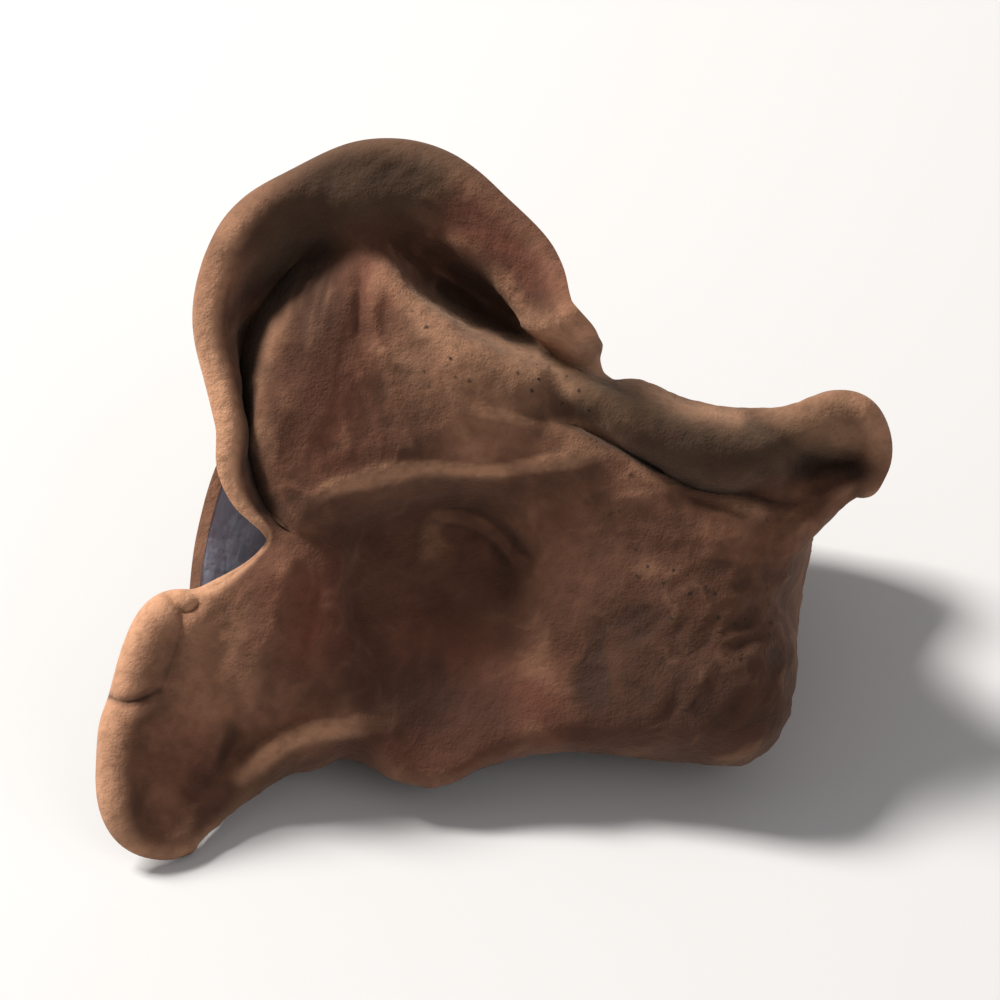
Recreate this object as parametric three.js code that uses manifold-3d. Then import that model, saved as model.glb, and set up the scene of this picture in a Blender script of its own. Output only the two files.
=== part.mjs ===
import * as THREE from 'three';
import Module from 'manifold-3d';

// A dried wood ear mushroom: one thin cup that shrank, folded and curled at its margin while it dried.
// Lengths are in millimetres and +Z is up. The ear rests on its belly with the fuzzy side to the front (-Y).
// The front is laid out as it is seen from above at an angle: across to the right, up the picture and
// toward the eye. The hidden part is laid out in plan: across, back and high.

const VIEW_ELEVATION = THREE.MathUtils.degToRad(40);
const PICTURE_MIDDLE_HIGH = 24.5;
const MIDDLE_THICKNESS = 1.5;
const MARGIN_THICKNESS = 1.05;
const BASE_THICKNESS = 2.4;
const ROLL_SHARE = 0.16;
const BEAD_RADIUS = 1.7;
const THIN_BEADS = {
  'hood left': 1.5,
  'strip top': 1.3,
  'strip upper': 1.1,
  'strip middle': 1,
  'strip lower': 1,
  'strip end': 1,
  notch: 1.1,
  'lobe top': 1.3,
  'rear left corner': 1.2,
};
const TAUT_PASSES = 2;
const REST_TRIM = 0.65;
const CELLS = 47;
const RINGS = 5;
const DISH_HALF_WIDTH = 7.5;
const DISH_HALF_HEIGHT = 7;
const DISH_RISE = 1.2;
const RIB_TWIST = THREE.MathUtils.degToRad(22);
const FRONT_STARTS = -11;
const FRONT_FULL = -7;
const UNDER_FADE = 8;
const STEPS_PER_KNOT = 6;
const NEAR_MARGIN = 0.98;
const SMALL_TURN = 0.001;
const GROUND_WIDTH = 200;
const GROUND_DEPTH = 50;

const ACROSS = new THREE.Vector3(1, 0, 0);
const UP = new THREE.Vector3(0, Math.sin(VIEW_ELEVATION), Math.cos(VIEW_ELEVATION));
const TOWARD = new THREE.Vector3(0, -Math.cos(VIEW_ELEVATION), Math.sin(VIEW_ELEVATION));
const PICTURE_MIDDLE = new THREE.Vector3(0, 0, PICTURE_MIDDLE_HIGH);

function seen(across, up, toward) {
  return PICTURE_MIDDLE.clone()
    .addScaledVector(ACROSS, across)
    .addScaledVector(UP, up)
    .addScaledVector(TOWARD, toward);
}

function hidden(across, back, high) {
  return new THREE.Vector3(across, back, high);
}

function rib(name, curl, ...points) {
  return { curl: THREE.MathUtils.degToRad(curl), bead: THIN_BEADS[name] ?? BEAD_RADIUS, points };
}

const DISH_MIDDLE = seen(-1, -8, -6);
const BASE_MIDDLE = seen(25, -16, -2);
const BASE_REACH = 8;

// Each rib runs from the dish to the margin, in turn round the ear; the angle is how far its margin curls.
const RIBS = [
  rib('right end', 50,
    seen(15, -9.2, 0), seen(23.5, -9.8, 0.6), hidden(29, 0, 15.6), hidden(30.5, 7.5, 16.8)),
  rib('small lobe bottom', 50,
    seen(14.5, -5.5, 0), seen(22, -5.5, 0.8), seen(28.6, -4, -1.5), seen(33.6, -0.4, -3.2)),
  rib('small lobe tip', 110,
    seen(15.5, -3, 0.6), seen(23.5, -2.4, 0.4), seen(29.8, 0, -2.6), seen(35.7, 3.2, -1.4)),
  rib('small lobe top', 120,
    seen(16, -1.2, 1), seen(22.5, -0.2, -1.6), seen(28, 2.2, -0.4), seen(33.8, 7, -0.8)),
  rib('small lobe shoulder', 120,
    seen(15.3, 0.4, 1.4), seen(20.6, 0.2, -2.2), seen(23.6, 3.4, 2.6), seen(26.6, 6.8, -1.6)),
  rib('roll right', 120,
    seen(12.5, 3, 1.5), seen(16.8, 2.2, -2.4), seen(18.6, 5.6, 3), seen(20.9, 7.6, -1.8)),
  rib('roll left', 110,
    seen(9, 4.8, 1.4), seen(12.5, 4.8, -1.6), seen(14.1, 7.6, 2.8), seen(15.9, 9.4, -2)),
  rib('gutter mouth', 50,
    seen(5.5, 5.2, 0.9), seen(8.8, 7.8, 1), seen(10.8, 9.6, 1), seen(12.6, 10, -5)),
  rib('hood tip', 60,
    seen(4, 5, 0.6), seen(6.5, 10.2, 2), seen(8, 12.6, -5), seen(10, 14.8, 2)),
  rib('hood right', 70,
    seen(2.5, 5, 0.6), seen(3.5, 11.4, 2.2), seen(4.6, 14.6, -7.5), seen(7.2, 20, 1)),
  rib('hood top right', 80,
    seen(0.5, 4.6, 0.6), seen(0.4, 12.8, 2.5), seen(1, 16.4, -8.5), seen(2.6, 24.2, 0.3)),
  rib('hood top', 90,
    seen(-2, 4.2, 0.6), seen(-2.6, 14.6, 2), seen(-2.8, 18.6, -6.5), seen(-2.5, 27.8, 0)),
  rib('crown', 100,
    seen(-4.5, 3.8, 0.5), seen(-6.2, 16.6, 1.2), seen(-7.4, 22, -2.2), seen(-8.5, 28.8, -0.5)),
  rib('hood left', 110,
    seen(-6.5, 3, 0.4), seen(-9.7, 16.6, 1), seen(-12, 21.2, -3.8), seen(-13.8, 26.2, -0.5)),
  rib('strip top', 130,
    seen(-8, 2, 0.3), seen(-13.6, 14.6, 1), seen(-16.2, 18, -5.5), seen(-18, 22.2, 0.4)),
  rib('strip upper', 140,
    seen(-9, 1, 0.2), seen(-16, 11.5, 0.8), seen(-18.6, 14, -4.8), seen(-20.3, 16.6, 0.6)),
  rib('strip middle', 140,
    seen(-9.8, 0, 0), seen(-16.4, 7, 0.5), seen(-19, 9, -4.4), seen(-20.4, 10.3, 0.4)),
  rib('strip lower', 120,
    seen(-10.2, -1.3, -0.4), seen(-15.6, 2.5, 0.2), seen(-18.2, 3.5, -3.4), seen(-19.6, 4.3, 0.4)),
  rib('strip end', 80,
    seen(-10.5, -2.8, -1), seen(-14.3, -1.3, -0.3), seen(-16.8, -0.9, -2.4), seen(-18.3, -0.3, 0)),
  rib('notch', 30,
    seen(-10.3, -5, -1.8), seen(-12.6, -4.6, -1), seen(-14.3, -4.4, -0.6), seen(-15.8, -4.3, -0.5)),
  rib('lobe top', 80,
    seen(-11, -7.8, -1.8), seen(-14.5, -8.8, -0.5), seen(-17.8, -9.2, 0), seen(-20.8, -9.2, 0.5)),
  rib('finger', 130,
    seen(-11, -9.8, -1.5), seen(-15.3, -11.5, 0), seen(-20, -12.2, 0), seen(-24.8, -10.9, 1.5)),
  rib('lobe side', 140,
    seen(-11, -11.7, -1.2), seen(-15.5, -14.3, 0), seen(-21.2, -16.2, -0.8), seen(-26.9, -16.4, 1.5)),
  rib('lobe low', 130,
    seen(-10.5, -13.7, -1.2), seen(-15.3, -18, -1), seen(-21.5, -21.5, -2), seen(-27.9, -23.2, 1.8)),
  rib('lobe tip', 80,
    seen(-10, -15.5, -1.3), seen(-14.8, -20.5, -2), seen(-20.6, -24.6, -2.3), seen(-27.2, -28.8, 1.2)),
  rib('lobe foot', 40,
    seen(-9.2, -17.3, -1.8), seen(-13.8, -22.2, -2.8), seen(-18, -25.8, -3.6), seen(-21.8, -29.2, -1.9)),
  rib('lobe heel', 40,
    seen(-8.6, -19.2, -2.1), hidden(-12.5, -10.7, 3), hidden(-16.6, -8, 1.8), hidden(-21, -8.5, 3.2)),
  rib('left side', 30,
    seen(-8, -20.8, -2.4), hidden(-11.5, -7.5, 1.8), hidden(-16.4, -2, 1.8), hidden(-22.5, 0.5, 6)),
  rib('rear left corner', 30,
    seen(-6.5, -22.6, -2.7), hidden(-9.3, -4, 0.4), hidden(-14.8, 5, 0.8), hidden(-22, 11, 11)),
  rib('rear left lobe', 90,
    seen(-5, -23.9, -3), hidden(-7, -2, 0.2), hidden(-11.5, 9.5, -0.4), hidden(-17.5, 21.5, 14)),
  rib('rear dip', 60,
    seen(-3, -24.6, -3.1), hidden(-4, -2, 0.1), hidden(-6, 11, -0.6), hidden(-8.5, 26, 10)),
  rib('rear middle lobe', 120,
    seen(-0.5, -24.4, -3), hidden(0, -2, 0), hidden(1.5, 12, -0.4), hidden(3.5, 31.5, 17.5)),
  rib('rear fold', 60,
    seen(2.5, -22.8, -2.6), hidden(4.5, -2, 0.1), hidden(9, 11, 0.2), hidden(13.5, 27.5, 9)),
  rib('rear right lobe', 120,
    seen(6, -21.2, -2.2), hidden(10, -1.5, -0.1), hidden(15, 9.5, 0.4), hidden(21.5, 24, 8)),
  rib('right corner', 60,
    seen(11.5, -20.8, -1.8), hidden(19, -3, -1), hidden(23.5, 8, 1.4), hidden(28, 22, 8)),
  rib('right side', 80,
    seen(17, -18.5, -0.5), seen(26.3, -22, -4), hidden(28.3, 8.5, 3.4), hidden(32, 20, 14.5)),
  rib('right fold', 50,
    seen(16.5, -13.3, -0.1), seen(27, -15, -1.8), hidden(29.8, 7.5, 7), hidden(31, 12.5, 12.8)),
];

// Ridges and valleys of the front: how high they rise toward the eye, their half width, and their line.
const FRONT_FOLDS = [
  {
    name: 'arch', rise: 0.8, width: 1.7,
    line: [[-14, -2.5], [-11.5, 0.3], [-7, 1.9], [-1, 2.5], [5, 2.6], [10, 4]],
  },
  {
    name: 'under the arch', rise: -2.2, width: 2.5,
    line: [[-9, -2.2], [-4, -1.4], [2, -1.6], [5, -4]],
  },
  {
    name: 'brow', rise: 2, width: 2.6,
    line: [[-17, 21.6], [-12.5, 24.6], [-5, 25.2], [1, 22.6], [6, 18.6], [9.6, 14.6]],
  },
  {
    name: 'hollow of the small lobe', rise: -3.6, width: 1.9,
    line: [[31, 2.8], [34.2, 3.2]],
  },
  {
    name: 'inner ridge', rise: 1.4, width: 2,
    line: [[5.8, -1], [8, -5], [7.4, -10]],
  },
  {
    name: 'lobe ridge', rise: 1.4, width: 2.2,
    line: [[-15, -7], [-16.5, -12], [-18.6, -17]],
  },
  {
    name: 'valley beside the lobe', rise: -1.2, width: 2.6,
    line: [[-18.5, -21], [-14, -17]],
  },
  {
    name: 'base crease', rise: -1.4, width: 2,
    line: [[12.7, -12.4], [11.6, -20]],
  },
  {
    name: 'base knob', rise: 1.6, width: 4,
    line: [[23, -17], [28, -18.5]],
  },
  {
    name: 'base wrinkle', rise: 1, width: 2.2,
    line: [[15, -14.5], [21, -16.5], [27, -20]],
  },
];

// Valleys of the belly, seen in plan: how far they lift off the ground.
const BELLY_FOLDS = [
  {
    name: 'front hollow', rise: 2, width: 3.6,
    line: [[12, -8], [3, -4], [-6, 0], [-15, -1]],
  },
  {
    name: 'middle hollow', rise: 2.2, width: 3.6,
    line: [[26, 5], [15, 4], [4, 4.5], [-5, 6]],
  },
  {
    name: 'rear hollow', rise: 2.2, width: 3.2,
    line: [[22, 15], [12, 17.5], [2, 19], [-9, 17]],
  },
];

function blendWeights(f) {
  return [
    -0.5 * f + f ** 2 - 0.5 * f ** 3,
    1 - 2.5 * f ** 2 + 1.5 * f ** 3,
    0.5 * f + 2 * f ** 2 - 1.5 * f ** 3,
    -0.5 * f ** 2 + 0.5 * f ** 3,
  ];
}

function smoothLine(line) {
  const first = line[0].map((value, axis) => 2 * value - line[1][axis]);
  const last = line.at(-1).map((value, axis) => 2 * value - line.at(-2)[axis]);
  const knots = [first, ...line, last];
  const points = [];
  for (let i = 0; i + 3 < knots.length; i += 1) {
    for (let step = 0; step < STEPS_PER_KNOT; step += 1) {
      const w = blendWeights(step / STEPS_PER_KNOT);
      points.push([0, 1].map((axis) => w.reduce((sum, weight, k) => sum + weight * knots[i + k][axis], 0)));
    }
  }
  points.push(line.at(-1));
  return points;
}

for (const one of [...FRONT_FOLDS, ...BELLY_FOLDS]) {
  one.path = smoothLine(one.line);
}

function distanceToPath(x, y, path) {
  let nearest = Infinity;
  for (let i = 0; i + 1 < path.length; i += 1) {
    const [x0, y0] = path[i];
    const dx = path[i + 1][0] - x0;
    const dy = path[i + 1][1] - y0;
    const along = THREE.MathUtils.clamp(((x - x0) * dx + (y - y0) * dy) / (dx * dx + dy * dy), 0, 1);
    nearest = Math.min(nearest, Math.hypot(x - x0 - along * dx, y - y0 - along * dy));
  }
  return nearest;
}

function totalRise(folds, x, y) {
  return folds.reduce((sum, { rise, width, path }) => {
    const distance = distanceToPath(x, y, path);
    return sum + rise * Math.exp(-((distance / width) ** 2));
  }, 0);
}

function folded(point) {
  const fromMiddle = point.clone().sub(PICTURE_MIDDLE);
  const front = THREE.MathUtils.smoothstep(fromMiddle.dot(TOWARD), FRONT_STARTS, FRONT_FULL);
  const rise = front * totalRise(FRONT_FOLDS, point.x, fromMiddle.dot(UP));
  const fade = (1 - front) * Math.exp(-Math.max(point.z, 0) / UNDER_FADE);
  const lift = fade * totalRise(BELLY_FOLDS, point.x, point.y);
  return point.addScaledVector(TOWARD, rise).add(new THREE.Vector3(0, 0, lift));
}

function blendRibs(turn, pick) {
  const place = turn * RIBS.length;
  const first = Math.floor(place);
  const w = blendWeights(place - first);
  const total = new THREE.Vector3();
  w.forEach((weight, k) => {
    const index = (first + k - 1 + RIBS.length) % RIBS.length;
    total.addScaledVector(pick(RIBS[index]), weight);
  });
  return total;
}

function ringPoint(ring, turn) {
  if (ring === 0) {
    return DISH_MIDDLE.clone();
  }
  if (ring < 0) {
    return ringPoint(-ring, (turn + 0.5) % 1);
  }
  if (ring > RINGS) {
    return ringPoint(RINGS, turn).multiplyScalar(2).sub(ringPoint(RINGS - 1, turn));
  }
  if (ring === 1) {
    const angle = turn * 2 * Math.PI - RIB_TWIST;
    return DISH_MIDDLE.clone()
      .addScaledVector(ACROSS, DISH_HALF_WIDTH * Math.cos(angle))
      .addScaledVector(UP, DISH_HALF_HEIGHT * Math.sin(angle))
      .addScaledVector(TOWARD, DISH_RISE);
  }
  return blendRibs(turn, (one) => one.points[ring - 2]);
}

function flatSkin(reach, turn) {
  const place = reach * RINGS;
  const first = Math.min(Math.floor(place), RINGS - 1);
  const total = new THREE.Vector3();
  blendWeights(place - first).forEach((weight, k) => {
    total.addScaledVector(ringPoint(first + k - 1, turn), weight);
  });
  return folded(total);
}

// The last share of the reach rolls back from the margin, round a small circle, which makes its bead.
function rolledMargin(roll, turn) {
  const edge = flatSkin(1, turn);
  const behind = flatSkin(1, (turn - SMALL_TURN + 1) % 1);
  const along = flatSkin(1, (turn + SMALL_TURN) % 1).sub(behind).normalize();
  const outward = edge.clone().sub(flatSkin(NEAR_MARGIN, turn)).normalize();
  const normal = outward.clone().cross(along).normalize();
  const straightOut = along.clone().cross(normal).normalize();
  const { x: curl, y: bead } = blendRibs(turn, (one) => new THREE.Vector3(one.curl, one.bead, 0));
  return edge
    .addScaledVector(straightOut, bead * Math.sin(roll * curl))
    .addScaledVector(normal, -bead * (1 - Math.cos(roll * curl)));
}

function skin(reach, turn) {
  const flatShare = 1 - ROLL_SHARE;
  if (reach <= flatShare) {
    return flatSkin(reach / flatShare, turn);
  }
  return rolledMargin((reach - flatShare) / ROLL_SHARE, turn);
}

// Squares round the middle of a square grid become rings round the dish, so no cell shrinks to a pole.
function gridTurn(a, b) {
  if (Math.abs(a) >= Math.abs(b)) {
    return (a === 0 ? 0 : b / a / 8) + (a < 0 ? 0.5 : 0);
  }
  return 0.25 - a / b / 8 + (b < 0 ? 0.5 : 0);
}

function gridPoint(column, row) {
  const a = (2 * column) / CELLS - 1;
  const b = (2 * row) / CELLS - 1;
  const reach = Math.max(Math.abs(a), Math.abs(b));
  return { middle: skin(reach, (gridTurn(a, b) + 1) % 1), reach };
}

function thicknessAt(middle, reach) {
  const plain = THREE.MathUtils.lerp(MIDDLE_THICKNESS, MARGIN_THICKNESS, reach);
  const base = Math.exp(-((middle.distanceTo(BASE_MIDDLE) / BASE_REACH) ** 2));
  return plain + (BASE_THICKNESS - plain) * base;
}

const SIDE = CELLS + 1;

function gridIndex(column, row) {
  return row * SIDE + column;
}

// Pulls every point half way to the middle of its neighbours; a point of the margin stays on the margin.
function pullTaut(grid) {
  const onMargin = (place) => place === 0 || place === CELLS;
  return grid.map((one, index) => {
    const column = index % SIDE;
    const row = Math.floor(index / SIDE);
    let neighbours = [[column - 1, row], [column + 1, row], [column, row - 1], [column, row + 1]];
    if (onMargin(column) || onMargin(row)) {
      neighbours = neighbours.filter(([c, r]) => onMargin(c) || onMargin(r));
    }
    const inside = neighbours.filter(([c, r]) => c >= 0 && c <= CELLS && r >= 0 && r <= CELLS);
    const mean = new THREE.Vector3();
    for (const [c, r] of inside) {
      mean.addScaledVector(grid[gridIndex(c, r)].middle, 1 / inside.length);
    }
    return { middle: one.middle.clone().lerp(mean, 0.5), reach: one.reach };
  });
}

function marginLoop() {
  const places = Array.from({ length: CELLS }, (_, i) => i);
  return [
    ...places.map((i) => gridIndex(i, 0)),
    ...places.map((i) => gridIndex(CELLS, i)),
    ...places.map((i) => gridIndex(CELLS - i, CELLS)),
    ...places.map((i) => gridIndex(0, CELLS - i)),
  ];
}

function gridNormals(points, triangles) {
  const geometry = new THREE.BufferGeometry().setFromPoints(points);
  geometry.setIndex(triangles);
  geometry.computeVertexNormals();
  return geometry.getAttribute('normal');
}

function buildGrid() {
  const places = Array.from({ length: SIDE * SIDE }, (_, index) => index);
  let grid = places.map((index) => gridPoint(index % SIDE, Math.floor(index / SIDE)));
  for (let pass = 0; pass < TAUT_PASSES; pass += 1) {
    grid = pullTaut(grid);
  }
  return grid;
}

// The triangles of one side; each cell is split along its shorter diagonal.
function sheetTriangles(grid) {
  const span = (from, to) => grid[from].middle.distanceTo(grid[to].middle);
  const sheet = [];
  for (let row = 0; row < CELLS; row += 1) {
    for (let column = 0; column < CELLS; column += 1) {
      const a = gridIndex(column, row);
      const b = gridIndex(column + 1, row);
      const c = gridIndex(column + 1, row + 1);
      const d = gridIndex(column, row + 1);
      sheet.push(...(span(a, c) < span(b, d) ? [a, b, c, a, c, d] : [a, b, d, b, c, d]));
    }
  }
  return sheet;
}

// One row of points stands half a thickness out from the margin, between the two sides.
function rimPoints(grid, loop, normalAt) {
  return loop.map((index, i) => {
    const next = grid[loop[(i + 1) % loop.length]].middle;
    const previous = grid[loop[(i + loop.length - 1) % loop.length]].middle;
    const along = next.clone().sub(previous).normalize();
    const outward = along.cross(normalAt(index)).normalize();
    const { middle, reach } = grid[index];
    return middle.clone().addScaledVector(outward, 0.5 * thicknessAt(middle, reach));
  });
}

// The fuzzy side, the smooth side and the rim between them close the shell.
function shellTriangles(sheet, loop, under) {
  const rimStart = 2 * under;
  const triangles = [...sheet];
  for (let i = 0; i < sheet.length; i += 3) {
    triangles.push(sheet[i] + under, sheet[i + 2] + under, sheet[i + 1] + under);
  }
  loop.forEach((top, i) => {
    const j = (i + 1) % loop.length;
    const nextTop = loop[j];
    const [edge, nextEdge] = [rimStart + i, rimStart + j];
    const [bottom, nextBottom] = [top + under, nextTop + under];
    triangles.push(top, edge, nextTop, nextTop, edge, nextEdge);
    triangles.push(edge, bottom, nextEdge, nextEdge, bottom, nextBottom);
  });
  return triangles;
}

function buildShell() {
  const grid = buildGrid();
  const sheet = sheetTriangles(grid);
  const loop = marginLoop();
  const normals = gridNormals(grid.map((one) => one.middle), sheet);
  const normalAt = (index) => new THREE.Vector3().fromBufferAttribute(normals, index);
  const sidePoints = (share) => grid.map(({ middle, reach }, index) => {
    return middle.clone().addScaledVector(normalAt(index), share * thicknessAt(middle, reach));
  });
  const points = [...sidePoints(0.5), ...sidePoints(-0.5), ...rimPoints(grid, loop, normalAt)];
  return { points, triangles: shellTriangles(sheet, loop, grid.length) };
}

const wasm = await Module();
wasm.setup();

function solidFrom(points, triangles) {
  const vertProperties = new Float32Array(points.flatMap((point) => point.toArray()));
  const triVerts = new Uint32Array(triangles);
  return new wasm.Manifold(new wasm.Mesh({ numProp: 3, vertProperties, triVerts }));
}

function boxSolid(size, centre) {
  const box = new THREE.BoxGeometry(size.x, size.y, size.z);
  box.translate(centre.x, centre.y, centre.z);
  const corners = new Map();
  const points = [];
  const position = box.getAttribute('position');
  const merged = Array.from({ length: position.count }, (_, i) => {
    const corner = new THREE.Vector3().fromBufferAttribute(position, i);
    const key = corner.toArray().join(' ');
    if (!corners.has(key)) {
      corners.set(key, points.length);
      points.push(corner);
    }
    return corners.get(key);
  });
  return solidFrom(points, Array.from(box.getIndex().array, (i) => merged[i]));
}

// The lowest folds are pressed flat where the ear rests, then its box is stood on the middle of the ground.
function restOnGround({ points, triangles }) {
  const bounds = new THREE.Box3().setFromPoints(points);
  const ground = bounds.min.z + REST_TRIM;
  const size = new THREE.Vector3(GROUND_WIDTH, GROUND_WIDTH, GROUND_DEPTH);
  const below = boxSolid(size, new THREE.Vector3(0, 0, ground - GROUND_DEPTH / 2));
  const mesh = solidFrom(points, triangles).subtract(below).getMesh();
  const geometry = new THREE.BufferGeometry();
  geometry.setAttribute('position', new THREE.BufferAttribute(new Float32Array(mesh.vertProperties), 3));
  geometry.setIndex(new THREE.BufferAttribute(new Uint32Array(mesh.triVerts), 1));
  geometry.computeBoundingBox();
  const { min, max } = geometry.boundingBox;
  geometry.translate(-(min.x + max.x) / 2, -(min.y + max.y) / 2, -min.z);
  geometry.computeVertexNormals();
  return geometry;
}

const fuzzyBrown = new THREE.MeshStandardMaterial({ color: '#735a4b', roughness: 0.9, metalness: 0 });
const woodEar = new THREE.Mesh(restOnGround(buildShell()), fuzzyBrown);
woodEar.name = 'wood_ear';

const group = new THREE.Group();
group.add(woodEar);

export default group;
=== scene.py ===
# %% [markdown]
# # A dried wood ear mushroom
# A wood ear is one thin cup of jelly-like flesh that grows on wood. When it dries it shrinks to a leathery
# shell: the outer side is fuzzy and brown, the inner side is smooth and almost black, and the margin rolls
# up into a rounded bead. This lesson models that shell as a single sheet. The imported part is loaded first,
# because everything that is modelled here has to sit where that part sits.

# %% Load the frame
import math

import bpy
import numpy as np
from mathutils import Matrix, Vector, kdtree, noise


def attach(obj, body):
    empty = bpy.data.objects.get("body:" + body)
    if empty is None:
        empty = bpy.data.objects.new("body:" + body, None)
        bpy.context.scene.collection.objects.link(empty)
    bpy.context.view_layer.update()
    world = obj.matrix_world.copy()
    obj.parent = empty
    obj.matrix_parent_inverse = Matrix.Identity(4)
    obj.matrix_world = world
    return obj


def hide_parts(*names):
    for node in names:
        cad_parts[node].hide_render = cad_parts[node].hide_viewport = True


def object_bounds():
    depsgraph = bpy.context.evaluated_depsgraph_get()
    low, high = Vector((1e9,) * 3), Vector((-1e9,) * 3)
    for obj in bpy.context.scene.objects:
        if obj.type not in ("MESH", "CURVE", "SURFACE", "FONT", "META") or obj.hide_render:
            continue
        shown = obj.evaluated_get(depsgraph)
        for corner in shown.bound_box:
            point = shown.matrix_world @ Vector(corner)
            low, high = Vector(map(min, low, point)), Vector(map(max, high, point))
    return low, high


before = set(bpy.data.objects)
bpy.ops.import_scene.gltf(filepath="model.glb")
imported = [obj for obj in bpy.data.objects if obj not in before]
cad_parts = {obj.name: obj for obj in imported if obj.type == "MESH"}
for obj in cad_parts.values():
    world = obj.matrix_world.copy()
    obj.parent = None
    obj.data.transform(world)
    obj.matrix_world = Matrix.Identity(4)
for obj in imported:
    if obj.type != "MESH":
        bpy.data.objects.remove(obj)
CAD_LOW, CAD_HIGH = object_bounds()
MM = 0.001
print("box of the packed part in mm:", [round(v / MM, 1) for v in (*CAD_LOW, *CAD_HIGH)])

# %% [markdown]
# ## The camera
# The photograph looks down on the ear at about 40 degrees, from some way off. The front of the ear is laid
# out in that view: across to the right, up the picture, and toward the eye. The camera is placed from the
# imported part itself. Its corners are measured across and up the picture, and the lens is long enough for
# the ear to fill about four fifths of the frame.

# %% Place the camera
VIEW_ELEVATION = math.radians(40)
ACROSS = np.array([1.0, 0.0, 0.0])
UP = np.array([0.0, math.sin(VIEW_ELEVATION), math.cos(VIEW_ELEVATION)])
TOWARD = np.array([0.0, -math.cos(VIEW_ELEVATION), math.sin(VIEW_ELEVATION)])
CAMERA_DISTANCE = 1.0
FRAME_SHARE = 0.8

part_points = np.array([v.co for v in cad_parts["wood_ear"].data.vertices])
across_range = np.array([(part_points @ ACROSS).min(), (part_points @ ACROSS).max()])
up_range = np.array([(part_points @ UP).min(), (part_points @ UP).max()])
toward_middle = (part_points @ TOWARD).mean()
aim = across_range.mean() * ACROSS + up_range.mean() * UP + toward_middle * TOWARD
frame_width = max(np.ptp(across_range), np.ptp(up_range)) / FRAME_SHARE

bpy.ops.object.select_all(action="DESELECT")
bpy.ops.object.camera_add(location=Vector(aim + CAMERA_DISTANCE * TOWARD))
camera = bpy.context.object
camera.name = "camera"
camera.rotation_mode = "QUATERNION"
camera.rotation_quaternion = Vector(-TOWARD).to_track_quat("-Z", "Y")
camera.data.lens = camera.data.sensor_width * CAMERA_DISTANCE / frame_width
bpy.context.scene.camera = camera
print("frame width in mm:", round(frame_width / MM, 1), "lens in mm:", round(camera.data.lens))

# %% [markdown]
# ## The floor and the light
# Soft daylight comes from the upper left, a little from behind, so that the rims catch it and the hollows
# stay dark. A large lamp stands for the window, a weaker one fills the front, and the pale floor sends some
# light back to the belly. The smooth side of the ear is glossy, so it also shows what the lamps look like.

# %% Add the lamps
def add_lamp(name, across, back, high, size, watts, colour):
    """A square lamp at a place given in metres, turned toward the ear."""
    place = Vector((across, back, high))
    bpy.ops.object.light_add(type="AREA", location=place)
    lamp = bpy.context.object
    lamp.name = name
    lamp.data.size = size
    lamp.data.energy = watts
    lamp.data.color = colour
    lamp.rotation_mode = "QUATERNION"
    lamp.rotation_quaternion = (Vector(aim) - place).to_track_quat("-Z", "Y")


add_lamp("window", across=-0.58, back=0.28, high=0.72, size=0.26, watts=14, colour=(1.0, 0.97, 0.92))
add_lamp("room", across=0.55, back=-0.65, high=0.5, size=0.7, watts=1.5, colour=(0.95, 0.97, 1.0))

# %% Add the floor and the pale room
FLOOR_WIDTH = 6
FLOOR_COLOUR = (0.68, 0.68, 0.69, 1)
ROOM_COLOUR = (1.0, 0.97, 0.94, 1)
ROOM_STRENGTH = 0.27


def pale_floor_material():
    material = bpy.data.materials.new("pale_floor")
    material.use_nodes = True
    shader = material.node_tree.nodes["Principled BSDF"]
    shader.inputs["Base Color"].default_value = FLOOR_COLOUR
    shader.inputs["Roughness"].default_value = 0.75
    return material


bpy.ops.mesh.primitive_plane_add(size=FLOOR_WIDTH)
floor = bpy.context.object
floor.name = "floor"
floor.data.materials.append(pale_floor_material())
world = bpy.data.worlds.new("pale_room")
world.use_nodes = True
world.node_tree.nodes["Background"].inputs["Color"].default_value = ROOM_COLOUR
world.node_tree.nodes["Background"].inputs["Strength"].default_value = ROOM_STRENGTH
bpy.context.scene.world = world
bpy.context.scene.view_settings.view_transform = "Standard"
print("width of the floor in metres:", FLOOR_WIDTH)

# %% [markdown]
# ## The ribs of the ear
# The ear has no straight line to start from, so its shape is given as a person would draw it: as ribs that
# run from the dish in its middle out to the margin, in turn round the ear. Each rib has four points, and an
# angle that says how far its margin has curled back. The points of the front are placed in the camera's
# view with seen(across, up, toward), and the points of the hidden back in plan with hidden(across, back,
# high), all in millimetres. Smooth curves through the ribs then give the whole skin.

# %% Lay out the ribs
PICTURE_MIDDLE = np.array([0.0, 0.0, 24.5])


def seen(across, up, toward):
    return PICTURE_MIDDLE + across * ACROSS + up * UP + toward * TOWARD


def hidden(across, back, high):
    return np.array([across, back, high])


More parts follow.
